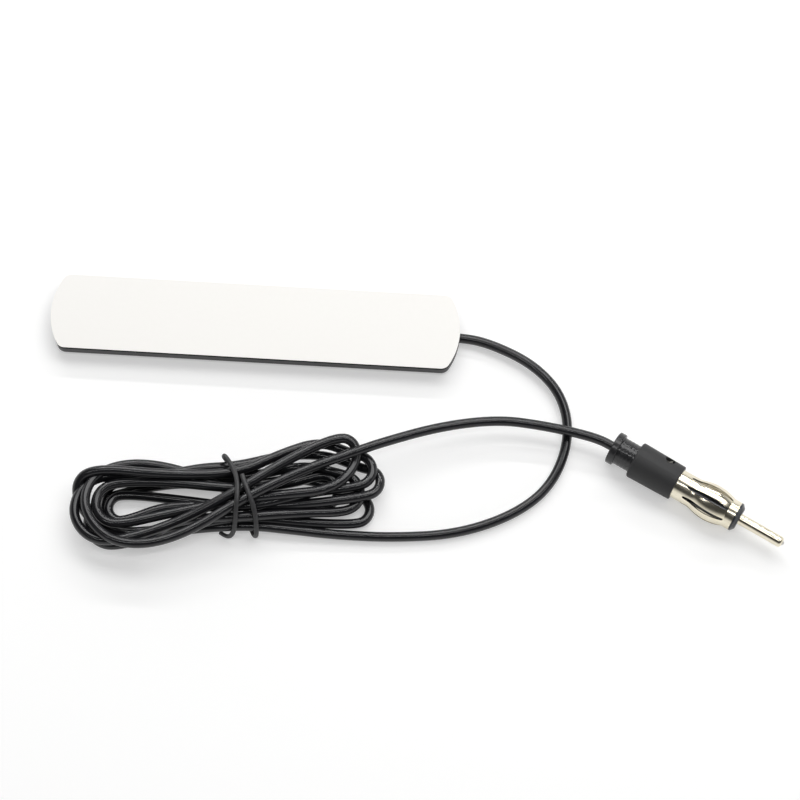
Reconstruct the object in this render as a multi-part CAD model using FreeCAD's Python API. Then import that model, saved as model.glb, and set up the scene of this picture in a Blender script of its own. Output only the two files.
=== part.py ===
import FreeCAD, Part
import math
import os

V = FreeCAD.Vector

# Car radio aerial: a flat adhesive strip, a thin coaxial lead tied in a hank, and an aerial plug.
# Millimetres. The origin is the centre of the strip's outline on the surface that it lies on.
# +X runs along the strip to the cable's exit, and +Z points up, to the adhesive side.

# Coaxial cable, from the outside in
CABLE_D = 2.7
DIELECTRIC_D = 1.5
CORE_D = 0.5
BRAID_WALL = 0.25
FIT = 0.05  # radial room between pieces that slide together
CUT_PAST = 1.0  # how far a cutter runs past what it cuts
EDGE_MATCH = 0.001  # how closely an edge is matched to a place

# Strip housing
STRIP_LENGTH = 115.0
STRIP_WIDTH = 22.0
END_BULGE = 3.4  # how far the curved ends stand past the corners
CORNER_R = 2.6
HOUSING_DEPTH = 4.5
HOUSING_WALL = 1.2
FACE_ROUND = 2.2  # edge of the smooth face
CABLE_AXIS_Z = 2.0  # height of the cable where it leaves the strip
PAD_THICKNESS = 0.9
LINER_THICKNESS = 0.12

# Cable end and its saddles inside the strip
JACKET_INSIDE = 12.0  # jacket from the strip's tip inwards
SADDLE_WIDTH = 9.0
SADDLE_THICKNESS = 1.2
SADDLE_SPACING = 4.0
SADDLE_LIP = 0.3  # how far a saddle stands above the cable's axis
DIELECTRIC_BARE = 2.6
BOARD_GAP = 0.5  # from the dielectric's end to the board

# Circuit board on its heat stakes
BOARD_LENGTH = 90.0
BOARD_WIDTH = 15.0
BOARD_THICKNESS = 0.8
STAKE_SHOULDER_D = 3.2
STAKE_D = 1.6
STAKE_HEAD_D = 2.8
STAKE_HEAD_HEIGHT = 0.4
STAKE_INSET = 3.2  # stake's axis from the board's edges and its far end
STAKE_CLEAR = 1.0  # from a stake's shoulder to the copper
TRACE_THICKNESS = 0.07
TRACE_LENGTH = 66.0
TRACE_WIDTH = 11.0
TRACE_GAP = 1.2
TRACE_LINE = 2.0
FEED_PAD_WIDTH = 2.4
GROUND_PAD_SIZE = 2.4
PAD_SPACING = 1.0
SOLDER_D = 1.9
SOLDER_FOOT_D = 1.1
SOLDER_UNDER = 0.15  # solder below the wire
WIRE_GAP = 0.2  # from the wire to the copper
PIGTAIL_D = 0.7

# Aerial plug, lengths along its axis from the rim to the pin's tip
RIM_D = 9.3
RIM_LENGTH = 2.1
NECK_D = 7.9
NECK_LENGTH = 4.9
NECK_RIBS = 4
NECK_RIB_HEIGHT = 0.05
GRIP_D = 10.5
GRIP_FRONT_D = 10.0
GRIP_LENGTH = 13.3
GRIP_ROUND = 0.6
GRIP_REAR_WALL = 1.4
RELIEF_WAIST_D = 6.0
RELIEF_FLANGE_D = 7.2
RELIEF_FLANGE_LENGTH = 1.0
SLEEVE_D = 8.35
SLEEVE_WALL = 0.4
COLLAR_LENGTH = 3.15  # plain sleeve that shows in front of the grip
SLOT_LENGTH = 12.6
SLOT_COUNT = 8
SLOT_END_WIDTH = 0.7
SLOT_MID_WIDTH = 1.45
SLOT_TURN = -11.0  # first slot, degrees from the top
BULGE_D = 10.3
BULGE_CROWN = 7.55  # widest place in front of the slots' rear ends
BULGE_BLEND_R = 6.0  # hollow between the collar and the bulge
RING_D = 8.35
RING_LENGTH = 2.35
BARREL_WALL = 0.35
BARREL_LENGTH = 3.0
BARREL_GAP = 0.3  # from the strain relief to the crimp barrel
LATCH_D = 2.9
LATCH_BACK = 4.5  # latch hole's centre behind the grip's front edge
LATCH_TURN = 47.0  # degrees from the top
TAB_WIDTH = 1.4
TAB_LENGTH = 1.4
TAB_RISE = 0.75
WASHER_D = 8.3
WASHER_LENGTH = 1.4
WASHER_FRONT_D = 6.2
WASHER_EDGE = 0.5  # straight edge before the chamfer
INSULATOR_D = 6.4
INSULATOR_BACK = 7.5  # core's rear face behind the slots' rear ends
PIN_D = 3.1
PIN_SHANK_D = 3.5  # inside the insulator
PIN_LENGTH = 13.7
PIN_TIP_ROUND = 0.9
PIN_FLANGE_D = 4.4
PIN_FLANGE_LENGTH = 0.8
PIN_BLIND = 7.0  # narrow bore behind the tip
SOLDER_CAP_D = 1.7
SOLDER_CAP_HEIGHT = 0.5
BRAID_FLARE_D = 5.2

# Route of the lead. X and Y are measured from the cable's exit, and lift is the height of
# the cable's underside above the floor.
STRIP_ROUTE = [
    (8.5, -1.4, 0.9),
    (21.2, -7.2, 1.3),
    (29.7, -16.3, 1.2),
    (32.0, -28.8, 0.4),
    (27.4, -42.4, 0.1),
    (17.3, -51.3, 0.05),
    (2.0, -57.6, 0.05),
    (-15.5, -59.6, 0.1),
    (-31.0, -59.8, 0.3),
    (-42.5, -59.3, 1.0),
]
PLUG_ROUTE = [
    (-28.5, -38.6, 7.1),
    (-20.0, -34.8, 7.0),
    (-4.0, -28.5, 5.4),
    (11.8, -25.2, 4.5),
    (24.5, -26.1, 4.1),
    (35.2, -27.9, 3.95),
]
PLUG_AT = (43.75, -31.0)
PLUG_TURN = -28.0
PLUG_LEAD_IN = 3.5  # straight cable behind the rim
ARC_SHARE = 0.45  # part of the shorter run that an arc takes

# Tied hank, in its own frame: stations along it, then across, half width, underside and top
HANK_AT = (-57.5, -51.0)
HANK_TURN = 12.0
HANK_WAIST_LENGTH = 12.0
HANK_WAIST_WIDTH = 20.4
HANK_WAIST_ACROSS = -0.2
HANK_WAIST_UNDERSIDE = 1.6
HANK_WAIST_TOP = 9.3
HANK_LEFT = [
    (-46.6, 5.5, 4.0, 2.0, 7.0),
    (-44.5, 5.5, 8.5, 0.6, 9.5),
    (-40.0, 2.8, 11.6, 0.0, 10.0),
    (-30.0, 1.8, 13.0, 0.0, 10.0),
    (-20.0, 1.4, 12.0, 0.3, 9.8),
    (-12.0, 0.8, 10.4, 0.9, 9.5),
]
HANK_RIGHT = [
    (13.0, 1.0, 10.3, 0.7, 9.1),
    (25.0, 0.7, 12.6, 0.0, 8.4),
    (33.0, -0.2, 11.8, 0.0, 6.4),
    (38.8, -0.3, 6.0, 0.8, 5.0),
]
HANK_ROUND_SHARE = 0.45  # rounding of the hank's section, as a share of its height
HANK_STUB = 7.0  # length of each lead that is sunk in the hank's own solid

# Twist tie: how far along the hank each corner of its two turns lies
TIE_D = 1.3
TIE_CLEAR = 0.12
TIE_START = (1.6, 3.1)
TIE_CORNERS = [3.2, 2.0, -1.5, -2.4, -1.0, -4.0, -4.5]
TIE_END = (-4.2, 0.62)  # place along the hank, and share of the waist's height

CABLE_R = CABLE_D / 2
EXIT = V(STRIP_LENGTH / 2, 0, CABLE_AXIS_Z)
HOUSING_TOP = HOUSING_DEPTH
PAD_TOP = HOUSING_TOP + PAD_THICKNESS
JACKET_END_X = STRIP_LENGTH / 2 - JACKET_INSIDE
BOARD_END_X = JACKET_END_X - DIELECTRIC_BARE - BOARD_GAP
COPPER_Z = CABLE_AXIS_Z + CORE_D / 2 + WIRE_GAP
BOARD_Z = COPPER_Z + TRACE_THICKNESS
BOARD_TOP = BOARD_Z + BOARD_THICKNESS
SOLDER_X = BOARD_END_X - SOLDER_D
GROUND_Y = FEED_PAD_WIDTH / 2 + PAD_SPACING + GROUND_PAD_SIZE / 2
STAKE_NEAR_X = SOLDER_X - GROUND_PAD_SIZE / 2 - STAKE_CLEAR - STAKE_SHOULDER_D / 2
TRACE_END_X = STAKE_NEAR_X - STAKE_SHOULDER_D / 2 - STAKE_CLEAR

GRIP_REAR = RIM_LENGTH + NECK_LENGTH
GRIP_FRONT = GRIP_REAR + GRIP_LENGTH
SLOT_REAR = GRIP_FRONT + COLLAR_LENGTH
SLOT_FRONT = SLOT_REAR + SLOT_LENGTH
RING_FRONT = SLOT_FRONT + RING_LENGTH
WASHER_FRONT = RING_FRONT + WASHER_LENGTH
PIN_TIP = WASHER_FRONT + PIN_LENGTH
GRIP_BORE_REAR = GRIP_REAR + GRIP_REAR_WALL
RELIEF_FRONT = GRIP_BORE_REAR + RELIEF_FLANGE_LENGTH
BARREL_REAR = RELIEF_FRONT + BARREL_GAP
BARREL_FRONT = BARREL_REAR + BARREL_LENGTH
SHOULDER_FRONT = BARREL_FRONT + SLEEVE_WALL
PLUG_JACKET_END = BARREL_FRONT
INSULATOR_REAR = SLOT_REAR - INSULATOR_BACK
PIN_REAR = INSULATOR_REAR - PIN_FLANGE_LENGTH
PIN_BORE_END = PIN_TIP - PIN_BLIND
PLUG_AXIS_Z = max(GRIP_D, RIM_D, BULGE_D) / 2
SLEEVE_R = SLEEVE_D / 2
RING_R = RING_D / 2


def strip_slab(inset, bottom, height):
    """Prism of the strip's plan shape: straight sides, arched ends and rounded corners."""
    half_width = STRIP_WIDTH / 2 - inset
    arch_r = ((STRIP_WIDTH / 2) ** 2 + END_BULGE ** 2) / (2 * END_BULGE)
    arch_centre = STRIP_LENGTH / 2 - arch_r
    corner_x = arch_centre + math.sqrt((arch_r - inset) ** 2 - half_width ** 2)
    tip_x = STRIP_LENGTH / 2 - inset
    edges = [
        Part.LineSegment(V(-corner_x, -half_width, bottom), V(corner_x, -half_width, bottom)),
        Part.Arc(V(corner_x, -half_width, bottom), V(tip_x, 0, bottom), V(corner_x, half_width, bottom)),
        Part.LineSegment(V(corner_x, half_width, bottom), V(-corner_x, half_width, bottom)),
        Part.Arc(V(-corner_x, half_width, bottom), V(-tip_x, 0, bottom), V(-corner_x, -half_width, bottom)),
    ]
    face = Part.Face(Part.Wire([edge.toShape() for edge in edges]))
    slab = face.extrude(V(0, 0, height))
    uprights = [edge for edge in slab.Edges if abs(edge.tangentAt(edge.FirstParameter).z) > 0.9]
    return slab.makeFillet(CORNER_R - inset, uprights)


def edges_at_height(shape, height):
    """Edges of a shape that lie flat at one height."""
    return [edge for edge in shape.Edges
            if abs(edge.BoundBox.ZMin - height) < EDGE_MATCH
            and abs(edge.BoundBox.ZMax - height) < EDGE_MATCH]


def rod(start, end, diameter):
    """Round bar from one point to another."""
    along = end - start
    return Part.makeCylinder(diameter / 2, along.Length, start, along)


def box(x_span, y_span, z_span):
    """Block between two values on each axis."""
    low = V(x_span[0], y_span[0], z_span[0])
    return Part.makeBox(x_span[1] - x_span[0], y_span[1] - y_span[0], z_span[1] - z_span[0], low)


def stake_places():
    """Axes of the heat stakes, near the board's corners."""
    ends = (BOARD_END_X - BOARD_LENGTH + STAKE_INSET, STAKE_NEAR_X)
    sides = (-BOARD_WIDTH / 2 + STAKE_INSET, BOARD_WIDTH / 2 - STAKE_INSET)
    return [(x, y) for x in ends for y in sides]


def make_strip_housing():
    """Tray with a smooth rounded face, a cable hole, saddles and heat stakes."""
    shell = strip_slab(0, 0, HOUSING_DEPTH)
    shell = shell.makeFillet(FACE_ROUND, edges_at_height(shell, 0))
    cavity = strip_slab(HOUSING_WALL, HOUSING_WALL, HOUSING_DEPTH)
    inner_round = FACE_ROUND - HOUSING_WALL
    cavity = cavity.makeFillet(inner_round, edges_at_height(cavity, HOUSING_WALL))
    shell = shell.cut(cavity)
    floor_z = HOUSING_WALL / 2
    saddle_x = JACKET_END_X + SADDLE_THICKNESS
    for step in range(2):
        rear = saddle_x + step * SADDLE_SPACING
        top = CABLE_AXIS_Z + SADDLE_LIP
        saddle = box((rear, rear + SADDLE_THICKNESS), (-SADDLE_WIDTH / 2, SADDLE_WIDTH / 2), (floor_z, top))
        shell = shell.fuse(saddle)
    for x, y in stake_places():
        shell = shell.fuse(rod(V(x, y, floor_z), V(x, y, BOARD_Z), STAKE_SHOULDER_D))
        shell = shell.fuse(rod(V(x, y, BOARD_Z), V(x, y, BOARD_TOP), STAKE_D))
        shell = shell.fuse(rod(V(x, y, BOARD_TOP), V(x, y, BOARD_TOP + STAKE_HEAD_HEIGHT), STAKE_HEAD_D))
    passage = rod(V(JACKET_END_X, 0, CABLE_AXIS_Z), EXIT + V(HOUSING_WALL, 0, 0), CABLE_D + 2 * FIT)
    return shell.cut(passage).removeSplitter()


def make_antenna_board():
    """Board with a hole for each heat stake."""
    along = (BOARD_END_X - BOARD_LENGTH, BOARD_END_X)
    board = box(along, (-BOARD_WIDTH / 2, BOARD_WIDTH / 2), (BOARD_Z, BOARD_TOP))
    for x, y in stake_places():
        board = board.cut(rod(V(x, y, BOARD_Z - CUT_PAST), V(x, y, BOARD_TOP + CUT_PAST), STAKE_D + 2 * FIT))
    return board


def make_radiator_trace():
    """Copper meander with its feed pad, and the ground pad beside it."""
    copper = (COPPER_Z, BOARD_Z)
    right = TRACE_END_X
    left = right - TRACE_LENGTH
    half = TRACE_WIDTH / 2
    meander = box((left, right), (-half, half), copper)
    pitch = TRACE_LINE + TRACE_GAP
    count = int((TRACE_LENGTH - TRACE_LINE) / pitch)
    for step in range(count):
        gap_left = right - TRACE_LINE - step * pitch - TRACE_GAP
        reach = (-half - CUT_PAST, half - TRACE_LINE) if step % 2 else (-half + TRACE_LINE, half + CUT_PAST)
        through = (COPPER_Z - CUT_PAST, BOARD_Z + CUT_PAST)
        meander = meander.cut(box((gap_left, gap_left + TRACE_GAP), reach, through))
    feed_along = (right - TRACE_LINE / 2, SOLDER_X + SOLDER_D / 2)
    feed = box(feed_along, (-FEED_PAD_WIDTH / 2, FEED_PAD_WIDTH / 2), copper)
    ground_x = (SOLDER_X - GROUND_PAD_SIZE / 2, SOLDER_X + GROUND_PAD_SIZE / 2)
    ground_y = (GROUND_Y - GROUND_PAD_SIZE / 2, GROUND_Y + GROUND_PAD_SIZE / 2)
    ground = box(ground_x, ground_y, copper)
    return Part.makeCompound([meander.fuse(feed).removeSplitter(), ground])


def make_strip_core_wire():
    """Centre wire from the jacket's end to the feed pad."""
    return rod(V(SOLDER_X - SOLDER_D / 2, 0, CABLE_AXIS_Z), V(JACKET_END_X, 0, CABLE_AXIS_Z), CORE_D)


def make_strip_dielectric():
    """Insulation between the jacket's end and the bare wire."""
    start = V(JACKET_END_X - DIELECTRIC_BARE, 0, CABLE_AXIS_Z)
    end = V(JACKET_END_X, 0, CABLE_AXIS_Z)
    return rod(start, end, DIELECTRIC_D).cut(rod(start, end, CORE_D))


def make_strip_braid():
    """Braid, twisted to a pigtail beside the insulation and led to the ground pad."""
    start = V(JACKET_END_X, DIELECTRIC_D / 2 + PIGTAIL_D / 2 + FIT, CABLE_AXIS_Z)
    lead = V(JACKET_END_X - DIELECTRIC_BARE / 2, start.y, CABLE_AXIS_Z)
    end = V(SOLDER_X - SOLDER_FOOT_D / 2, GROUND_Y, CABLE_AXIS_Z)
    bend = Part.makeSphere(PIGTAIL_D / 2, lead)
    return rod(start, lead, PIGTAIL_D).fuse(bend).fuse(rod(lead, end, PIGTAIL_D)).removeSplitter()


def make_board_solder(core_wire, braid):
    """Cones of solder that take the wire and the pigtail to their pads."""
    joints = []
    for y, conductor, size in ((0, core_wire, CORE_D), (GROUND_Y, braid, PIGTAIL_D)):
        foot_z = CABLE_AXIS_Z - size / 2 - SOLDER_UNDER
        foot = V(SOLDER_X, y, foot_z)
        cone = Part.makeCone(SOLDER_FOOT_D / 2, SOLDER_D / 2, COPPER_Z - foot_z, foot)
        joints.append(cone.cut(conductor))
    return Part.makeCompound(joints)


def rounded_path(points, label):
    """Straight runs joined by tangent arcs, each as large as its two runs allow."""
    edges = []
    at = points[0]
    radii = []
    for before, corner, after in zip(points, points[1:], points[2:]):
        back = before - corner
        ahead = after - corner
        half_turn = (math.pi - back.getAngle(ahead)) / 2
        reach = ARC_SHARE * min(back.Length, ahead.Length)
        radius = reach / math.tan(half_turn)
        radii.append(radius)
        back.normalize()
        ahead.normalize()
        inward = back + ahead
        inward.normalize()
        middle = corner + inward * (radius / math.cos(half_turn) - radius)
        first = corner + back * reach
        last = corner + ahead * reach
        edges.append(Part.LineSegment(at, first).toShape())
        edges.append(Part.Arc(first, middle, last).toShape())
        at = last
    edges.append(Part.LineSegment(at, points[-1]).toShape())
    print(label, "bend radii", [round(radius, 1) for radius in radii])
    return Part.Wire(edges)


def tube(points, diameter, label):
    """Round cord along a rounded path, with its volume set against section times length."""
    path = rounded_path(points, label)
    section = Part.Wire(Part.makeCircle(diameter / 2, points[0], points[1] - points[0]))
    solid = path.makePipeShell([section], True, False)
    expected = math.pi * diameter ** 2 / 4 * path.Length
    print(label, "length", round(path.Length, 1), "volume ratio", round(solid.Volume / expected, 4))
    return solid


def from_exit(x, y, lift):
    """Point of the cable's centre line, from its place beside the exit and its lift."""
    return V(EXIT.x + x, EXIT.y + y, CABLE_R + lift)


def strip_route():
    """Centre line of the lead from the strip to the hank."""
    return [EXIT] + [from_exit(*point) for point in STRIP_ROUTE]


def plug_placement():
    """Place of the plug's rim, with the plug's axis along its local X."""
    rim = V(EXIT.x + PLUG_AT[0], EXIT.y + PLUG_AT[1], PLUG_AXIS_Z)
    return FreeCAD.Placement(rim, FreeCAD.Rotation(V(0, 0, 1), PLUG_TURN))


def plug_route():
    """Centre line of the lead from the hank to the plug's rim."""
    place = plug_placement()
    ends = [place.multVec(V(-PLUG_LEAD_IN, 0, 0)), place.multVec(V(0, 0, 0))]
    return [from_exit(*point) for point in PLUG_ROUTE] + ends


def make_strip_lead():
    """Jacketed cable from inside the strip to the hank."""
    inside = rod(V(JACKET_END_X, 0, CABLE_AXIS_Z), EXIT, CABLE_D)
    return tube(strip_route(), CABLE_D, "strip lead").fuse(inside).removeSplitter()


def make_plug_lead():
    """Jacketed cable from the hank into the plug's crimp barrel."""
    place = plug_placement()
    inside = rod(place.multVec(V(0, 0, 0)), place.multVec(V(PLUG_JACKET_END, 0, 0)), CABLE_D)
    return tube(plug_route(), CABLE_D, "plug lead").fuse(inside).removeSplitter()


def hank_placement():
    """Place of the hank's waist on the floor, with the hank along its local X."""
    waist = V(EXIT.x + HANK_AT[0], EXIT.y + HANK_AT[1], 0)
    return FreeCAD.Placement(waist, FreeCAD.Rotation(V(0, 0, 1), HANK_TURN))


def hank_section(along, across, half_width, underside, top):
    """Section of the bundle: a box with rounded corners, as quarter arcs and flat lines."""
    corner_r = HANK_ROUND_SHARE * (top - underside)
    inner = half_width - corner_r
    low = underside + corner_r
    high = top - corner_r
    arcs = []
    for step, (y, z) in enumerate([(inner, low), (inner, high), (-inner, high), (-inner, low)]):
        middle = V(along, across + y, z)
        turns = [math.radians(90 * step - 90 + part) for part in (0, 45, 90)]
        rim = [middle + V(0, math.cos(turn), math.sin(turn)) * corner_r for turn in turns]
        arcs.append(Part.Arc(*rim))
    edges = []
    for arc, following in zip(arcs, arcs[1:] + arcs[:1]):
        edges.append(arc.toShape())
        edges.append(Part.LineSegment(arc.EndPoint, following.StartPoint).toShape())
    return Part.Wire(edges)


def make_cable_hank():
    """Outer shape of the tied hank, with the stub of each lead where it leaves the bundle."""
    half_waist = HANK_WAIST_LENGTH / 2
    waist = (HANK_WAIST_ACROSS, HANK_WAIST_WIDTH / 2, HANK_WAIST_UNDERSIDE, HANK_WAIST_TOP)
    stations = HANK_LEFT + [(-half_waist,) + waist, (half_waist,) + waist] + HANK_RIGHT
    bundle = Part.makeLoft([hank_section(*station) for station in stations], True, True)
    bundle.Placement = hank_placement()
    first_lead = strip_route()
    last_lead = plug_route()
    for end, neighbour in ((first_lead[-1], first_lead[-2]), (last_lead[0], last_lead[1])):
        inward = end - neighbour
        inward.normalize()
        bundle = bundle.fuse(rod(end, end + inward * HANK_STUB, CABLE_D))
    return bundle.removeSplitter()


def make_twist_tie():
    """Plastic-coated wire, wound twice round the hank's waist."""
    clear = TIE_CLEAR + TIE_D / 2
    front = HANK_WAIST_ACROSS - HANK_WAIST_WIDTH / 2 - clear
    back = HANK_WAIST_ACROSS + HANK_WAIST_WIDTH / 2 + clear
    low = HANK_WAIST_UNDERSIDE - clear
    high = HANK_WAIST_TOP + clear
    corners = [(front, high), (front, low), (back, low), (back, high)]
    points = [V(TIE_START[0], TIE_START[1], high)]
    for step, along in enumerate(TIE_CORNERS):
        side, height = corners[step % len(corners)]
        points.append(V(along, side, height))
    points.append(V(TIE_END[0], back, low + TIE_END[1] * (high - low)))
    place = hank_placement()
    return tube([place.multVec(point) for point in points], TIE_D, "twist tie")


def turned(profile):
    """Solid of revolution about the plug's axis from (station, radius) corners."""
    corners = [V(station, 0, radius) for station, radius in profile]
    face = Part.Face(Part.makePolygon(corners + corners[:1]))
    return face.revolve(V(0, 0, 0), V(1, 0, 0), 360)


def rims_at(shape, station, radius):
    """Circular edges of a turned shape at one station and radius."""
    return [edge for edge in shape.Edges
            if abs(edge.BoundBox.XMin - station) < EDGE_MATCH
            and abs(edge.BoundBox.XMax - station) < EDGE_MATCH
            and abs(edge.BoundBox.YMax - radius) < EDGE_MATCH]


def about_axis(shape, degrees):
    """Copy of a shape turned about the plug's axis, from the top towards its far side."""
    turned_copy = shape.copy()
    turned_copy.rotate(V(0, 0, 0), V(1, 0, 0), -degrees)
    return turned_copy


def make_strain_relief():
    """Soft bush: rim, ribbed neck, waist in the grip's rear wall and the flange behind it."""
    bore = CABLE_D / 2 + FIT
    neck = NECK_D / 2
    rib_pitch = NECK_LENGTH / (2 * NECK_RIBS + 1)
    profile = [(0, bore), (0, RIM_D / 2), (RIM_LENGTH, RIM_D / 2), (RIM_LENGTH, neck)]
    for step in range(NECK_RIBS):
        rear = RIM_LENGTH + (2 * step + 1) * rib_pitch
        profile += [(rear, neck), (rear + rib_pitch / 3, neck - NECK_RIB_HEIGHT)]
        profile += [(rear + 2 * rib_pitch / 3, neck - NECK_RIB_HEIGHT), (rear + rib_pitch, neck)]
    waist = RELIEF_WAIST_D / 2 - FIT
    flange = RELIEF_FLANGE_D / 2
    profile += [(GRIP_REAR, neck), (GRIP_REAR, waist), (GRIP_BORE_REAR, waist), (GRIP_BORE_REAR, flange)]
    profile += [(RELIEF_FRONT, flange), (RELIEF_FRONT, bore)]
    bush = turned(profile)
    rounded = rims_at(bush, 0, RIM_D / 2) + rims_at(bush, RIM_LENGTH, RIM_D / 2)
    return bush.makeFillet(RIM_LENGTH / 5, rounded)


def make_plug_housing():
    """Tapered grip with a bore for the sleeve and a latch hole in its wall."""
    bore = SLEEVE_R + FIT
    grip = turned([
        (GRIP_REAR, RELIEF_WAIST_D / 2), (GRIP_REAR, GRIP_D / 2), (GRIP_FRONT, GRIP_FRONT_D / 2),
        (GRIP_FRONT, bore), (GRIP_BORE_REAR, bore), (GRIP_BORE_REAR, RELIEF_WAIST_D / 2),
    ])
    grip = grip.makeFillet(GRIP_ROUND, rims_at(grip, GRIP_REAR, GRIP_D / 2))
    front_rim = rims_at(grip, GRIP_FRONT, GRIP_FRONT_D / 2)
    grip = grip.makeFillet(min(GRIP_ROUND, (GRIP_FRONT_D / 2 - bore) / 3), front_rim)
    latch = rod(V(GRIP_FRONT - LATCH_BACK, 0, bore / 2), V(GRIP_FRONT - LATCH_BACK, 0, GRIP_D), LATCH_D)
    return grip.cut(about_axis(latch, LATCH_TURN))


def bulge_arcs(depth):
    """Hollow and bulge of the fingers in the (station, radius) plane, set in by a depth."""
    crown = V(SLOT_REAR + BULGE_CROWN, 0, BULGE_D / 2)
    front_run = SLOT_FRONT - crown.x
    front_drop = crown.z - RING_R
    bulge_r = (front_run ** 2 + front_drop ** 2) / (2 * front_drop)
    rise = crown.z - SLEEVE_R
    rear_run = math.sqrt(2 * (bulge_r + BULGE_BLEND_R) * rise - rise ** 2)
    swing = math.asin(rear_run / (bulge_r + BULGE_BLEND_R))
    inset = V(0, 0, depth)

    def hollow(angle):
        return V(crown.x - rear_run + BULGE_BLEND_R * math.sin(angle), 0,
                 SLEEVE_R + BULGE_BLEND_R * (1 - math.cos(angle))) - inset

    flat = Part.LineSegment(V(SLOT_REAR, 0, SLEEVE_R) - inset, hollow(0))
    blend = Part.Arc(hollow(0), hollow(swing / 2), hollow(swing))
    bulge = Part.Arc(hollow(swing), crown - inset, V(SLOT_FRONT, 0, RING_R) - inset)
    return [flat.toShape(), blend.toShape(), bulge.toShape()]


def slot_cutter():
    """Lens-shaped slot with round ends, cut from the top through the sleeve's wall."""
    half = SLOT_LENGTH / 2
    end = SLOT_END_WIDTH / 2
    mid = SLOT_MID_WIDTH / 2
    middle = SLOT_REAR + half
    edges = [
        Part.Arc(V(middle - half + end, -end, 0), V(middle, -mid, 0), V(middle + half - end, -end, 0)),
        Part.Arc(V(middle + half - end, -end, 0), V(middle + half, 0, 0), V(middle + half - end, end, 0)),
        Part.Arc(V(middle + half - end, end, 0), V(middle, mid, 0), V(middle - half + end, end, 0)),
        Part.Arc(V(middle - half + end, end, 0), V(middle - half, 0, 0), V(middle - half + end, -end, 0)),
    ]
    lens = Part.Face(Part.Wire([edge.toShape() for edge in edges]))
    lens.translate(V(0, 0, SLEEVE_R / 2))
    return lens.extrude(V(0, 0, BULGE_D))


def make_contact_sleeve():
    """Spring contact: crimp barrel, shoulder, collar, slotted bulge and front ring."""
    barrel_in = CABLE_D / 2 + FIT
    barrel_out = barrel_in + BARREL_WALL
    inner = SLEEVE_R - SLEEVE_WALL
    ring_in = RING_R - SLEEVE_WALL
    outside = Part.makePolygon([
        V(SLOT_REAR, 0, SLEEVE_R), V(BARREL_FRONT, 0, SLEEVE_R), V(BARREL_FRONT, 0, barrel_out),
        V(BARREL_REAR, 0, barrel_out), V(BARREL_REAR, 0, barrel_in), V(SHOULDER_FRONT, 0, barrel_in),
        V(SHOULDER_FRONT, 0, inner), V(SLOT_REAR, 0, inner),
    ])
    ring = Part.makePolygon([
        V(SLOT_FRONT, 0, ring_in),
        V(RING_FRONT, 0, ring_in),
        V(RING_FRONT, 0, RING_R),
        V(SLOT_FRONT, 0, RING_R),
    ])
    edges = outside.Edges + bulge_arcs(SLEEVE_WALL) + ring.Edges + bulge_arcs(0)
    face = Part.Face(Part.Wire(Part.__sortEdges__(edges)))
    sleeve = face.revolve(V(0, 0, 0), V(1, 0, 0), 360)
    cutter = slot_cutter()
    for step in range(SLOT_COUNT):
        sleeve = sleeve.cut(about_axis(cutter, SLOT_TURN + step * 360 / SLOT_COUNT))
    tab_rear = GRIP_FRONT - LATCH_BACK - TAB_LENGTH / 2
    tab_front = tab_rear + TAB_LENGTH
    tab_root = SLEEVE_R - SLEEVE_WALL / 2
    tab_top = SLEEVE_R + TAB_RISE
    tab_profile = [
        V(tab_rear, 0, tab_root), V(tab_front, 0, tab_top), V(tab_front, 0, tab_top - SLEEVE_WALL),
        V(tab_rear + 2 * SLEEVE_WALL, 0, tab_root),
    ]
    tab_face = Part.Face(Part.makePolygon(tab_profile + tab_profile[:1]))
    tab_face.translate(V(0, -TAB_WIDTH / 2, 0))
    tab = tab_face.extrude(V(0, TAB_WIDTH, 0))
    return sleeve.fuse(about_axis(tab, LATCH_TURN)).removeSplitter()


def make_plug_insulator():
    """Core inside the sleeve, stem pressed into the ring, and the chamfered front washer."""
    bore = PIN_SHANK_D / 2 + FIT
    stem = RING_R - SLEEVE_WALL - FIT
    return turned([
        (INSULATOR_REAR, bore), (INSULATOR_REAR, INSULATOR_D / 2), (SLOT_FRONT, INSULATOR_D / 2),
        (SLOT_FRONT, stem), (RING_FRONT, stem), (RING_FRONT, WASHER_D / 2),
        (RING_FRONT + WASHER_EDGE, WASHER_D / 2), (WASHER_FRONT, WASHER_FRONT_D / 2), (WASHER_FRONT, bore),
    ])


def make_centre_pin():
    """Hollow pin with a rear flange, a bore for the insulation and a narrow one to the tip."""
    wide = DIELECTRIC_D / 2 + FIT
    narrow = CORE_D / 2 + FIT
    pin = turned([
        (PIN_REAR, wide), (PIN_REAR, PIN_FLANGE_D / 2), (INSULATOR_REAR, PIN_FLANGE_D / 2),
        (INSULATOR_REAR, PIN_SHANK_D / 2), (WASHER_FRONT, PIN_SHANK_D / 2), (WASHER_FRONT, PIN_D / 2),
        (PIN_TIP - SOLDER_CAP_HEIGHT, PIN_D / 2),
        (PIN_TIP - SOLDER_CAP_HEIGHT, narrow), (PIN_BORE_END, narrow), (PIN_BORE_END, wide),
    ])
    return pin.makeFillet(PIN_TIP_ROUND, rims_at(pin, PIN_TIP - SOLDER_CAP_HEIGHT, PIN_D / 2))


def make_pin_solder():
    """Domed solder cap on the pin's tip, round the wire's end."""
    base = PIN_TIP - SOLDER_CAP_HEIGHT
    cap_r = min(SOLDER_CAP_D / 2, PIN_D / 2 - PIN_TIP_ROUND + FIT)
    dome_r = (cap_r ** 2 + SOLDER_CAP_HEIGHT ** 2) / (2 * SOLDER_CAP_HEIGHT)
    ball = Part.makeSphere(dome_r, V(PIN_TIP - dome_r, 0, 0))
    ahead = Part.makeBox(dome_r, 3 * dome_r, 3 * dome_r, V(base, -1.5 * dome_r, -1.5 * dome_r))
    return ball.common(ahead)


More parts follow.
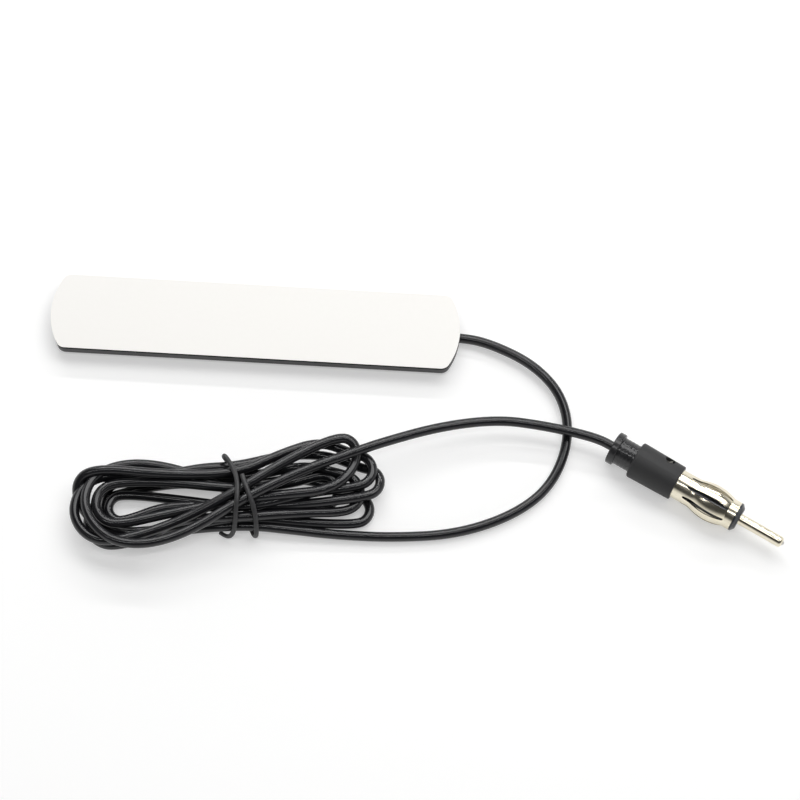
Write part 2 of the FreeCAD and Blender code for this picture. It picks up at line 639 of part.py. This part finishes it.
def make_plug_core_wire():
    """Centre wire from the jacket's end to the solder cap."""
    return rod(V(PLUG_JACKET_END, 0, 0), V(PIN_TIP - SOLDER_CAP_HEIGHT, 0, 0), CORE_D)


def make_plug_dielectric():
    """Insulation from the jacket's end into the pin."""
    start = V(PLUG_JACKET_END, 0, 0)
    end = V(PIN_BORE_END, 0, 0)
    return rod(start, end, DIELECTRIC_D).cut(rod(start, end, CORE_D))


def make_plug_braid():
    """Braid, flared over the sleeve's shoulder."""
    inner = DIELECTRIC_D / 2 + FIT
    outer = inner + BRAID_WALL
    flare = BRAID_FLARE_D / 2
    front = SHOULDER_FRONT + BRAID_WALL
    return turned([
        (PLUG_JACKET_END, inner), (PLUG_JACKET_END, outer), (SHOULDER_FRONT, outer), (SHOULDER_FRONT, flare),
        (front, flare), (front, inner),
    ])


def on_plug(shape):
    """Shape moved from the plug's own axis to its place on the floor."""
    shape.Placement = plug_placement().multiply(shape.Placement)
    return shape


strip_core_wire = make_strip_core_wire()
strip_braid = make_strip_braid()
nodes = {
    "strip_housing": make_strip_housing(),
    "antenna_board": make_antenna_board(),
    "radiator_trace": make_radiator_trace(),
    "board_solder": make_board_solder(strip_core_wire, strip_braid),
    "adhesive_pad": strip_slab(0, HOUSING_TOP, PAD_THICKNESS),
    "release_liner": strip_slab(0, PAD_TOP, LINER_THICKNESS),
    "strip_dielectric": make_strip_dielectric(),
    "strip_core_wire": strip_core_wire,
    "strip_braid": strip_braid,
    "strip_lead": make_strip_lead(),
    "cable_hank": make_cable_hank(),
    "plug_lead": make_plug_lead(),
    "twist_tie": make_twist_tie(),
    "strain_relief": on_plug(make_strain_relief()),
    "plug_housing": on_plug(make_plug_housing()),
    "contact_sleeve": on_plug(make_contact_sleeve()),
    "plug_insulator": on_plug(make_plug_insulator()),
    "centre_pin": on_plug(make_centre_pin()),
    "pin_solder": on_plug(make_pin_solder()),
    "plug_core_wire": on_plug(make_plug_core_wire()),
    "plug_dielectric": on_plug(make_plug_dielectric()),
    "plug_braid": on_plug(make_plug_braid()),
}

os.makedirs("parts", exist_ok=True)
for name, shape in nodes.items():
    shape.exportStep("parts/" + name + ".step")
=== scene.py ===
import math

import bpy
from mathutils import Matrix, Vector


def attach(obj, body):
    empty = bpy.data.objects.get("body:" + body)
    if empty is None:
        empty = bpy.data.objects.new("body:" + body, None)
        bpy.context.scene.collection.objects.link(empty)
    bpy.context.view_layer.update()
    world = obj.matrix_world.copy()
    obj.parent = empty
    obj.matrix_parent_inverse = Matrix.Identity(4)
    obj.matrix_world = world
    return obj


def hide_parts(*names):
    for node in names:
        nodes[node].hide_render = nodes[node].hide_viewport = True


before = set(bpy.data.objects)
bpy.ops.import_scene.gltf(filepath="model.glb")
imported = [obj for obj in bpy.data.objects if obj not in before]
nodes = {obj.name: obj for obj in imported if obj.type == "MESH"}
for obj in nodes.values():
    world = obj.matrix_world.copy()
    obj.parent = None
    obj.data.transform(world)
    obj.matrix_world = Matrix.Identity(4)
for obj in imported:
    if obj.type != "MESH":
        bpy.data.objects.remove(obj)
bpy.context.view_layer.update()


# Strip housing: a shallow tray of black plastic, moulded with a fine spark grain on its outer face.
# It lies face down here, so only its rim and its arched ends show under the tape.

class Wire:
    """A socket in a node tree. Arithmetic on it adds math nodes, and make() adds any other node."""

    def __init__(self, tree, socket=None):
        self.tree = tree
        self.socket = socket

    def make(self, kind, inputs=(), out=0, **settings):
        node = self.tree.nodes.new(kind)
        for name, value in settings.items():
            setattr(node, name, value)
        for key, value in dict(inputs).items():
            if isinstance(value, Wire):
                self.tree.links.new(value.socket, node.inputs[key])
            else:
                node.inputs[key].default_value = value
        return Wire(self.tree, node.outputs[out])

    def into(self, socket):
        self.tree.links.new(self.socket, socket)

    def sum(self, operation, first, second):
        return self.make("ShaderNodeMath", {0: first, 1: second}, operation=operation)

    def __add__(self, other):
        return self.sum("ADD", self, other)

    def __radd__(self, other):
        return self.sum("ADD", other, self)

    def __mul__(self, other):
        return self.sum("MULTIPLY", self, other)

    def __rmul__(self, other):
        return self.sum("MULTIPLY", other, self)


def new_finish(name, roughness, metallic=0.0):
    """A material, its shader and the start of its node tree. The values hold where no node sets them."""
    material = bpy.data.materials.new(name)
    material.use_nodes = True
    shader = material.node_tree.nodes["Principled BSDF"]
    shader.inputs["Roughness"].default_value = roughness
    shader.inputs["Metallic"].default_value = metallic
    return material, shader, Wire(material.node_tree)


def two_tone(start, amount, dark, pale):
    """Colour that goes from dark to pale with amount."""
    ramp = start.make("ShaderNodeValToRGB", {"Fac": amount})
    stops = ramp.socket.node.color_ramp.elements
    stops[0].color = (*dark, 1)
    stops[1].color = (*pale, 1)
    return ramp


def grain(start, place, scale, detail=3.0):
    """Noise of about one over scale metres."""
    return start.make("ShaderNodeTexNoise", {"Vector": place, "Scale": scale, "Detail": detail})


def relief(start, height, strength, depth):
    """Small bumps of that depth, in metres."""
    return start.make("ShaderNodeBump", {"Height": height, "Strength": strength, "Distance": depth})


def dress(node, material):
    """Gives a carried-over solid its finish."""
    nodes[node].data.materials.clear()
    nodes[node].data.materials.append(material)


housing_plastic, shader, start = new_finish("housing_plastic", 0.46)
place = start.make("ShaderNodeTexCoord", out="Object")
spark = grain(start, place, 2600.0)
wear = grain(start, place, 60.0, 5.0)
two_tone(start, wear, (0.018, 0.018, 0.019), (0.036, 0.036, 0.038)).into(shader.inputs["Base Color"])
(0.38 + 0.2 * wear).into(shader.inputs["Roughness"])
relief(start, spark, 0.35, 0.00004).into(shader.inputs["Normal"])
dress("strip_housing", housing_plastic)


# Aerial board inside the tray: a lacquered board with an etched copper meander on its lower side.
# Two drops of solder take the cable's centre wire and its braid.

board_lacquer, shader, start = new_finish("board_lacquer", 0.3)
place = start.make("ShaderNodeTexCoord", out="Object")
glass_cloth = start.make("ShaderNodeTexWave", {"Vector": place, "Scale": 700.0, "Distortion": 1.5})
two_tone(start, glass_cloth, (0.035, 0.13, 0.065), (0.06, 0.19, 0.1)).into(shader.inputs["Base Color"])
relief(start, glass_cloth, 0.2, 0.00003).into(shader.inputs["Normal"])
dress("antenna_board", board_lacquer)

bare_copper, shader, start = new_finish("bare_copper", 0.3, 1.0)
place = start.make("ShaderNodeTexCoord", out="Object")
tarnish = grain(start, place, 400.0, 5.0)
two_tone(start, tarnish, (0.5, 0.22, 0.11), (0.8, 0.45, 0.28)).into(shader.inputs["Base Color"])
(0.22 + 0.25 * tarnish).into(shader.inputs["Roughness"])
for node in ("radiator_trace", "strip_core_wire", "plug_core_wire"):
    dress(node, bare_copper)

bright_solder, shader, start = new_finish("bright_solder", 0.28, 1.0)
place = start.make("ShaderNodeTexCoord", out="Object")
frost = grain(start, place, 1800.0, 4.0)
two_tone(start, frost, (0.56, 0.55, 0.52), (0.84, 0.83, 0.8)).into(shader.inputs["Base Color"])
(0.2 + 0.3 * frost).into(shader.inputs["Roughness"])
relief(start, frost, 0.4, 0.00006).into(shader.inputs["Normal"])
for node in ("board_solder", "pin_solder"):
    dress(node, bright_solder)


# Adhesive pad and its peel-off liner: black foam tape over the whole strip, covered by waxed white paper.
# The foam is cut with the paper on it, so the two outlines are one.

foam_tape, shader, start = new_finish("foam_tape", 0.9)
place = start.make("ShaderNodeTexCoord", out="Object")
cells = start.make("ShaderNodeTexVoronoi", {"Vector": place, "Scale": 3200.0})
two_tone(start, cells, (0.004, 0.004, 0.0045), (0.018, 0.018, 0.019)).into(shader.inputs["Base Color"])
shader.inputs["Specular IOR Level"].default_value = 0.15
relief(start, cells, 0.6, 0.00008).into(shader.inputs["Normal"])
dress("adhesive_pad", foam_tape)

liner_paper, shader, start = new_finish("liner_paper", 0.5)
place = start.make("ShaderNodeTexCoord", out="Object")
fibres = grain(start, place, 900.0, 6.0)
cloud = grain(start, place, 35.0, 3.0)
sheet = 0.5 * fibres + 0.5 * cloud
two_tone(start, sheet, (0.925, 0.91, 0.875), (0.965, 0.95, 0.92)).into(shader.inputs["Base Color"])
(0.38 + 0.22 * cloud).into(shader.inputs["Roughness"])
relief(start, fibres, 0.12, 0.00003).into(shader.inputs["Normal"])
dress("release_liner", liner_paper)


# Cable's prepared ends: white insulation round the centre wire, and a braid of tinned copper strands.
# Both are out of sight. The braid is drawn aside to a pigtail in the strip and flared in the plug.

white_insulation, shader, start = new_finish("white_insulation", 0.42)
place = start.make("ShaderNodeTexCoord", out="Object")
clouding = grain(start, place, 500.0, 4.0)
two_tone(start, clouding, (0.78, 0.78, 0.74), (0.88, 0.88, 0.85)).into(shader.inputs["Base Color"])
for node in ("strip_dielectric", "plug_dielectric"):
    dress(node, white_insulation)

tinned_braid, shader, start = new_finish("tinned_braid", 0.35, 1.0)
place = start.make("ShaderNodeTexCoord", out="Object")
twist = {"Vector": place, "Scale": 2400.0, "Distortion": 2.0}
strands = start.make("ShaderNodeTexWave", twist, bands_direction="DIAGONAL")
two_tone(start, strands, (0.4, 0.28, 0.19), (0.75, 0.62, 0.5)).into(shader.inputs["Base Color"])
relief(start, strands, 0.7, 0.00008).into(shader.inputs["Normal"])
for node in ("strip_braid", "plug_braid"):
    dress(node, tinned_braid)


# Coaxial cable: one length from the strip to the plug, with a satin black jacket.
# It is folded thirteen times into a loose hank, whose folds fan out on both sides of the tie.

CABLE_DIAMETER = 0.0027
JACKET_START = Vector((0.0455, 0.0, 0.002))
CABLE_EXIT = Vector((0.0575, 0.0, 0.002))
PLUG_RIM = Vector((0.10125, -0.031, 0.00525))
PLUG_TURN = math.radians(-28.0)
PLUG_AXIS = Vector((math.cos(PLUG_TURN), math.sin(PLUG_TURN), 0.0))
STRAIGHT_BEFORE_RIM = 0.0035
JACKET_PAST_RIM = 0.004
MARKS_ALONG = 40.0
MARKS_AROUND = 30.0
HANK_WAIST = Vector((0.0, -0.051, 0.0))
HANK_TURN = math.radians(12.0)

# Inside the hank, sizes are in millimetres: the height of its lowest strand's centre and of each layer.
MILLIMETRE = 0.001
PILE_FLOOR = 1.4
PILE_LAYER = 2.45

# The free runs, along and across from the cable's exit and up from the table, in metres.
strip_route = [
    (0.0085, -0.0014, 0.0009), (0.0212, -0.0072, 0.0013), (0.0297, -0.0163, 0.0012),
    (0.0320, -0.0288, 0.0004), (0.0274, -0.0424, 0.0001), (0.0173, -0.0513, 0.00005),
    (0.0020, -0.0576, 0.00005), (-0.0155, -0.0596, 0.0001), (-0.0310, -0.0598, 0.0003),
    (-0.0425, -0.0593, 0.0010),
]
plug_route = [
    (-0.0285, -0.0386, 0.0071), (-0.0200, -0.0348, 0.0070), (-0.0040, -0.0285, 0.0054),
    (0.0118, -0.0252, 0.0045), (0.0245, -0.0261, 0.0041), (0.0352, -0.0279, 0.00395),
]

# A row for each fold, along and across the hank and in layers of the pile: where the cable passes the tie,
# its way out, the fold (centre, radius, lean, layer at the tip) and its way back.
hank_folds = [
    ((-8.2, 0.9), [(-20, -6.2, 0.0)], (-35.5, -1.2, 6.8, 0.0, 0.0), [(-20, 7.4, 0.0), (-9, 5.6, 0.1)]),
    ((2.4, 0.8), [(17, 4.0, 0.2)], (30.4, -7.9, 4.1, 0.0, 0.0), [(18, -10.1, 0.4)]),
    ((-6.0, 1.0), [(-20, -6.2, 0.8)], (-31.2, 2.2, 7.4, 0.0, 0.6), [(-19, 9.6, 0.2)]),
    ((4.8, 1.0), [(18, 6.2, 1.4)], (27.4, -3.4, 5.2, 0.0, 0.9), [(17, -7.6, 1.3)]),
    ((-6.8, 2.1), [(-19, -4.6, 1.9)], (-32.4, 1.5, 10.0, 6.4, 0.8), [(-19, 7.2, 3.3)]),
    ((5.6, 2.1), [(13, 9.8, 2.0), (24, 12.2, 1.4)], (32.2, 2.1, 4.6, 0.0, 1.7), [(20, -2.4, 1.9)]),
    ((-4.6, 2.0), [(-19, 0.2, 1.5)], (-32.2, 1.4, 4.0, 0.0, 1.0), [(-19, 2.4, 0.6)]),
    ((-3.4, 0.9), [(20, -5.8, 1.9)], (34.0, -1.2, 4.4, 0.0, 1.2), [(25, 9.0, 0.3), (13, 10.2, 0.8)]),
    ((8.4, 1.3), [(-10, 8.6, 2.4), (-22, 8.0, 1.8)], (-35.8, 0.9, 9.4, 0.0, 2.3), [(-18, -6.4, 2.6)]),
    ((0.0, 3.4), [(14, 6.8, 3.1)], (25.6, 4.2, 6.8, 3.4, 2.0), [(16, -2.9, 2.8)]),
    ((-1.8, 2.3), [(-20, -3.4, 2.7)], (-33.4, 1.7, 5.8, 0.0, 2.6), [(-19, 6.0, 2.3)]),
    ((1.0, 2.2), [(14, 1.4, 1.0)], (22.4, -1.7, 4.2, 0.0, 0.8), [(13, -5.2, 0.2)]),
    ((-0.6, 0.8), [(-8, 6.0, 1.1), (-21, 11.6, 2.0)], (-30.2, 0.8, 11.6, 1.8, 3.1), [(-16, -10.2, 3.3)]),
]
last_strand = [(0.0, -3.0, 3.4), (12.0, 1.2, 3.3), (21.0, 3.8, 3.2)]


def on_floor(point):
    """Route point as the cable's centre, from its lift off the floor."""
    return Vector((CABLE_EXIT.x + point[0], CABLE_EXIT.y + point[1], point[2] + CABLE_DIAMETER / 2))


def in_hank(point):
    """Point of the hank in the part's frame."""
    return HANK_WAIST + Matrix.Rotation(HANK_TURN, 3, "Z") @ (Vector(point) * MILLIMETRE)


def in_pile(along, across, layer):
    """Point of the cable in the hank, from its layer in the pile."""
    return in_hank((along, across, PILE_FLOOR + PILE_LAYER * layer))


def fold_points(way_out, fold, way_back):
    """Half a turn of cable, from the way out to the way back, by the corners that its bend runs inside."""
    along, across, radius, lean, tip = fold
    end = math.copysign(1.0, along)
    hand = math.copysign(1.0, way_back[0][1] - way_out[-1][1])
    reach = radius / math.cos(math.pi / 8)
    half_turn = []
    for share in (-1.0, -0.5, 0.0, 0.5, 1.0):
        outward = reach * math.cos(share * math.pi / 2)
        sideways = hand * math.sin(share * math.pi / 2)
        beyond = way_out[-1][2] if share < 0 else way_back[0][2]
        layer = tip + abs(share) * (beyond - tip)
        half_turn.append((along + end * (outward + lean * sideways), across + reach * sideways, layer))
    return half_turn


def smooth_line(name, points):
    """A curve of one open NURBS spline with those control points."""
    curve = bpy.data.curves.new(name, "CURVE")
    curve.dimensions = "3D"
    spline = curve.splines.new("NURBS")
    spline.points.add(len(points) - 1)
    for place, point in zip(spline.points, points):
        place.co = (*point, 1)
    spline.order_u = 3
    spline.use_endpoint_u = True
    spline.resolution_u = 9
    line = bpy.data.objects.new(name, curve)
    bpy.context.scene.collection.objects.link(line)
    return line


def line_points(line):
    """Points of a curve as it runs."""
    evaluated = line.evaluated_get(bpy.context.evaluated_depsgraph_get())
    bare = bpy.data.meshes.new_from_object(evaluated)
    points = [vertex.co.copy() for vertex in bare.vertices]
    bpy.data.meshes.remove(bare)
    return points


def jacketed(line, name, material, sizes):
    """Tube along a curve, made by nodes, as a plain mesh that takes the curve's place."""
    tree = bpy.data.node_groups.new(name + "_tube", "GeometryNodeTree")
    face = tree.interface
    face.new_socket("Line", in_out="INPUT", socket_type="NodeSocketGeometry")
    for label in ("Width", "Height"):
        face.new_socket(label, in_out="INPUT", socket_type="NodeSocketFloat")
    face.new_socket("Sides", in_out="INPUT", socket_type="NodeSocketInt")
    face.new_socket("Tube", in_out="OUTPUT", socket_type="NodeSocketGeometry")
    start = Wire(tree)
    asked = start.make("NodeGroupInput")
    given = {socket.name: Wire(tree, socket) for socket in asked.socket.node.outputs if socket.name}
    ring = start.make("GeometryNodeCurvePrimitiveCircle", {"Resolution": given["Sides"], "Radius": 0.5})
    flat = start.make("ShaderNodeCombineXYZ", {"X": given["Width"], "Y": given["Height"], "Z": 1.0})
    section = start.make("GeometryNodeTransform", {"Geometry": ring, "Scale": flat})
    turn = start.make("GeometryNodeSplineParameter", out="Factor")
    around = {"Geometry": section, "Name": "turn", "Value": turn}
    section = start.make("GeometryNodeStoreNamedAttribute", around)
    run = start.make("GeometryNodeSplineParameter", out="Length")
    lengthwise = {"Geometry": given["Line"], "Name": "run", "Value": run}
    marked = start.make("GeometryNodeStoreNamedAttribute", lengthwise)
    swept = {"Curve": marked, "Profile Curve": section, "Fill Caps": True}
    tube = start.make("GeometryNodeCurveToMesh", swept)
    smooth = start.make("GeometryNodeSetShadeSmooth", {"Geometry": tube})
    whole = start.make("GeometryNodeRealizeInstances", {"Geometry": smooth})
    painted = start.make("GeometryNodeSetMaterial", {"Geometry": whole, "Material": material})
    result = tree.nodes.new("NodeGroupOutput")
    painted.into(result.inputs[0])
    modifier = line.modifiers.new("tube", "NODES")
    modifier.node_group = tree
    for socket in face.items_tree:
        if socket.in_out == "INPUT" and socket.name in sizes:
            modifier[socket.identifier] = sizes[socket.name]
    evaluated = line.evaluated_get(bpy.context.evaluated_depsgraph_get())
    piece = bpy.data.objects.new(name, bpy.data.meshes.new_from_object(evaluated))
    bpy.context.scene.collection.objects.link(piece)
    bpy.data.objects.remove(line)
    return piece


cable_points = [JACKET_START, CABLE_EXIT]
cable_points += [on_floor(point) for point in strip_route]
for (across, layer), way_out, fold, way_back in hank_folds:
    turn_points = [(0.0, across, layer)] + way_out + fold_points(way_out, fold, way_back) + way_back
    cable_points += [in_pile(*point) for point in turn_points]
cable_points += [in_pile(*point) for point in last_strand]
cable_points += [on_floor(point) for point in plug_route]
cable_points += [PLUG_RIM - STRAIGHT_BEFORE_RIM * PLUG_AXIS, PLUG_RIM]
cable_points += [PLUG_RIM + JACKET_PAST_RIM * PLUG_AXIS]

cable_jacket, shader, start = new_finish("cable_jacket", 0.36)
place = start.make("ShaderNodeTexCoord", out="Object")
run = start.make("ShaderNodeAttribute", attribute_name="run", out="Fac")
turn = start.make("ShaderNodeAttribute", attribute_name="turn", out="Fac")
along = start.make("ShaderNodeCombineXYZ", {"X": run * MARKS_ALONG, "Y": turn * MARKS_AROUND, "Z": 0.0})
drawn = start.make("ShaderNodeTexNoise", {"Vector": along, "Scale": 1.0, "Detail": 4.0})
scuff = grain(start, place, 320.0, 5.0)
two_tone(start, scuff, (0.007, 0.007, 0.0085), (0.014, 0.014, 0.016)).into(shader.inputs["Base Color"])
(0.13 + 0.05 * drawn + 0.05 * scuff).into(shader.inputs["Roughness"])
relief(start, drawn, 0.03, 0.00002).into(shader.inputs["Normal"])

cable_line = smooth_line("cable_line", cable_points)
cable_path = line_points(cable_line)
cable = jacketed(
    cable_line, "cable", cable_jacket,
    {"Width": CABLE_DIAMETER, "Height": CABLE_DIAMETER, "Sides": 20},
)


# Twist tie: a wire with a thin black coating, bent twice round the hank by hand.
# It is not quite round, and its two ends are left open. Its bends are in the hank's millimetres.

TIE_WIDTH = 0.00135
TIE_HEIGHT = 0.0011
tie_bends = [
    (1.3, 3.6, 11.2), (1.7, 1.4, 11.7), (2.4, -1.8, 11.9), (3.1, -5.0, 10.7), (3.4, -7.8, 8.8),
    (3.2, -10.0, 6.8), (2.9, -11.8, 4.2), (2.4, -11.5, 1.5), (1.6, -9.0, 0.72), (0.4, -2.0, 0.7),
    (-0.8, 5.0, 0.7), (-1.6, 9.4, 1.2), (-2.2, 10.8, 3.4), (-2.7, 10.5, 6.0), (-3.1, 10.8, 8.6),
    (-2.5, 9.9, 9.7), (-1.5, 8.0, 9.1), (-0.6, 5.4, 9.5), (-0.2, 2.4, 11.4), (-0.5, -1.0, 12.0),
    (-1.2, -4.2, 11.8), (-1.9, -6.9, 9.6), (-2.5, -9.0, 7.2), (-3.3, -10.4, 4.6), (-4.5, -10.6, 2.3),
    (-5.9, -9.7, 1.2), (-6.9, -8.6, 0.9),
]

tie_coating, shader, start = new_finish("tie_coating", 0.42)
place = start.make("ShaderNodeTexCoord", out="Object")
crease = grain(start, place, 700.0, 4.0)
two_tone(start, crease, (0.018, 0.018, 0.019), (0.042, 0.042, 0.044)).into(shader.inputs["Base Color"])
(0.34 + 0.2 * crease).into(shader.inputs["Roughness"])
relief(start, crease, 0.5, 0.00006).into(shader.inputs["Normal"])

tie = jacketed(
    smooth_line("tie_line", [in_hank(point) for point in tie_bends]), "tie", tie_coating,
    {"Width": TIE_WIDTH, "Height": TIE_HEIGHT, "Sides": 14},
)
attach(tie, "root")
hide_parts("twist_tie")


# Plug body: a soft ribbed strain relief behind a hard matt grip.
# The two are moulded, and their texture runs with the plug's own axis.

RIB_PITCH = 0.00045


def along_plug(start):
    """Place on the plug, with X along it from the cable's end of the strain relief."""
    place = start.make("ShaderNodeTexCoord", out="Object")
    own_frame = {"Vector": place, "Location": PLUG_RIM, "Rotation": (0, 0, PLUG_TURN)}
    return start.make("ShaderNodeMapping", own_frame, vector_type="TEXTURE")


relief_rubber, shader, start = new_finish("relief_rubber", 0.3)
place = along_plug(start)
axis = start.make("ShaderNodeSeparateXYZ", {"Vector": place}, out="X")
rib = start.make("ShaderNodeMath", {0: axis * (2 * math.pi / RIB_PITCH)}, operation="SINE")
smear = grain(start, place, 500.0, 4.0)
two_tone(start, smear, (0.012, 0.012, 0.013), (0.026, 0.026, 0.028)).into(shader.inputs["Base Color"])
(0.14 + 0.16 * smear).into(shader.inputs["Roughness"])
relief(start, rib, 0.05, 0.00002).into(shader.inputs["Normal"])
dress("strain_relief", relief_rubber)

grip_plastic, shader, start = new_finish("grip_plastic", 0.6)
place = along_plug(start)
spark = grain(start, place, 3000.0, 4.0)
rub = grain(start, place, 180.0, 4.0)
two_tone(start, rub, (0.013, 0.013, 0.0137), (0.025, 0.025, 0.026)).into(shader.inputs["Base Color"])
(0.48 + 0.2 * rub).into(shader.inputs["Roughness"])
relief(start, spark, 0.5, 0.00005).into(shader.inputs["Normal"])
dress("plug_housing", grip_plastic)


# Plug contacts: a slotted spring sleeve, rolled from sheet, and a hollow turned pin, both nickel plated.
# A polished black insulator holds the pin in the middle of the sleeve.
# Behind the grip's front edge, whose distance from the plug's rim is GRIP_FRONT, the plating is rougher,
# and its colour is painted dark as shade inside the grip.

GRIP_FRONT = 0.0203
TURNING_MARKS = (9000.0, 260.0, 260.0)
# Painted shade: the dark grey that the plating takes inside the grip.
PAINTED_GRIP_SHADE = (0.2, 0.19, 0.17, 1.0)

nickel_plate, shader, start = new_finish("nickel_plate", 0.16, 1.0)
place = along_plug(start)
stretch = start.make("ShaderNodeMapping", {"Vector": place, "Scale": TURNING_MARKS})
turned = start.make("ShaderNodeTexNoise", {"Vector": stretch, "Scale": 1.0, "Detail": 3.0})
stain = grain(start, place, 420.0, 4.0)
plating = two_tone(start, stain, (0.72, 0.66, 0.5), (0.86, 0.81, 0.68))
axis = start.make("ShaderNodeSeparateXYZ", {"Vector": place}, out="X")
covered = start.sum("LESS_THAN", axis, GRIP_FRONT)
# Inputs 6 and 7 and output 2 are a mix node's sockets for colours.
# Painted shade: where the plating is covered by the grip, its colour is swapped for the dark grey.
shaded_in_grip = {0: covered, 6: plating, 7: PAINTED_GRIP_SHADE}
start.make("ShaderNodeMix", shaded_in_grip, out=2, data_type="RGBA").into(shader.inputs["Base Color"])
(0.1 + 0.1 * turned + 0.08 * stain + 0.3 * covered).into(shader.inputs["Roughness"])
relief(start, turned, 0.12, 0.00002).into(shader.inputs["Normal"])
for node in ("contact_sleeve", "centre_pin"):
    dress(node, nickel_plate)

insulator_black, shader, start = new_finish("insulator_black", 0.16)
place = along_plug(start)
flow = grain(start, place, 300.0, 4.0)
two_tone(start, flow, (0.014, 0.016, 0.02), (0.034, 0.037, 0.044)).into(shader.inputs["Base Color"])
(0.1 + 0.14 * flow).into(shader.inputs["Roughness"])
dress("plug_insulator", insulator_black)

# The cable is declared here, because the tie and the whole plug go with it.
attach(cable, "root")
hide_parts("strip_lead", "cable_hank", "plug_lead")


# Studio: a plain white table top under a pale sky with a darker ceiling.
# A large soft lamp hangs behind and above, and two thin tubes draw lines on what is glossy.
# The camera looks down at 70 degrees, from in front and a little to the right.

TABLE_REACH = 3.0
TABLE_GLOW = 0.38
LAMP_AIM = Vector((0.02, -0.03, 0.0))
CAMERA_PLACE = Vector((0.0563, -0.25722, 0.65575))
CAMERA_TILT = math.radians(70.0)
CAMERA_SWING = math.radians(3.48)
FOCAL_LENGTH = 112.39

floor_mesh = bpy.data.meshes.new("table_top")
corners = [(-TABLE_REACH, -TABLE_REACH, 0), (TABLE_REACH, -TABLE_REACH, 0)]
corners += [(TABLE_REACH, TABLE_REACH, 0), (-TABLE_REACH, TABLE_REACH, 0)]
floor_mesh.from_pydata(corners, [], [(0, 1, 2, 3)])
table_top = bpy.data.objects.new("table_top", floor_mesh)
bpy.context.scene.collection.objects.link(table_top)
table_white, shader, start = new_finish("table_white", 0.9)
shader.inputs["Base Color"].default_value = (0.7, 0.7, 0.697, 1)
shader.inputs["Specular IOR Level"].default_value = 0.0
seen = start.make("ShaderNodeLightPath", out="Is Camera Ray")
for ray in ("Is Glossy Ray", "Is Transmission Ray"):
    seen = start.sum("MAXIMUM", seen, start.make("ShaderNodeLightPath", out=ray))
glow = start.make("ShaderNodeEmission", {"Color": (1, 1, 1, 1), "Strength": seen * TABLE_GLOW})
lit = Wire(table_white.node_tree, shader.outputs[0])
both = start.make("ShaderNodeAddShader", {0: lit, 1: glow})
both.into(table_white.node_tree.nodes["Material Output"].inputs["Surface"])
floor_mesh.materials.append(table_white)

world = bpy.data.worlds.new("studio")
world.use_nodes = True
bpy.context.scene.world = world
start = Wire(world.node_tree)
direction = start.make("ShaderNodeTexCoord", out="Generated")
height = start.make("ShaderNodeSeparateXYZ", {"Vector": direction}, out="Z")
fade = {"Value": height, "From Min": 0.2, "From Max": 0.55, "To Min": 1.0, "To Max": 0.05}
start.make("ShaderNodeMapRange", fade).into(world.node_tree.nodes["Background"].inputs["Strength"])
world.node_tree.nodes["Background"].inputs["Color"].default_value = (1, 1, 1, 1)

for name, spot, width, depth, power in (
    ("soft_lamp", (0.14, 0.36, 0.72), 1.2, 0.34, 4.6),
    ("front_tube", (0.05, -0.16, 0.95), 1.2, 0.03, 2.0),
    ("back_tube", (0.05, 0.75, 0.6), 1.2, 0.03, 3.0),
):
    lamp = bpy.data.lights.new(name, "AREA")
    lamp.shape = "RECTANGLE"
    lamp.size = width
    lamp.size_y = depth
    lamp.energy = power
    stand = bpy.data.objects.new(name, lamp)
    stand.location = spot
    stand.rotation_euler = (LAMP_AIM - Vector(spot)).to_track_quat("-Z", "Y").to_euler()
    bpy.context.scene.collection.objects.link(stand)

lens = bpy.data.cameras.new("camera")
lens.sensor_width = 36.0
lens.lens = FOCAL_LENGTH
lens.clip_start = 0.01
camera = bpy.data.objects.new("camera", lens)
right = Vector((math.cos(CAMERA_SWING), math.sin(CAMERA_SWING), 0.0))
ahead = Vector((-math.sin(CAMERA_SWING), math.cos(CAMERA_SWING), 0.0))
up = math.sin(CAMERA_TILT) * ahead + Vector((0.0, 0.0, math.cos(CAMERA_TILT)))
facing = Matrix((right, up, right.cross(up))).transposed().to_4x4()
camera.matrix_world = Matrix.Translation(CAMERA_PLACE) @ facing
bpy.context.scene.collection.objects.link(camera)
bpy.context.scene.camera = camera

bpy.context.scene.view_settings.view_transform = "Standard"
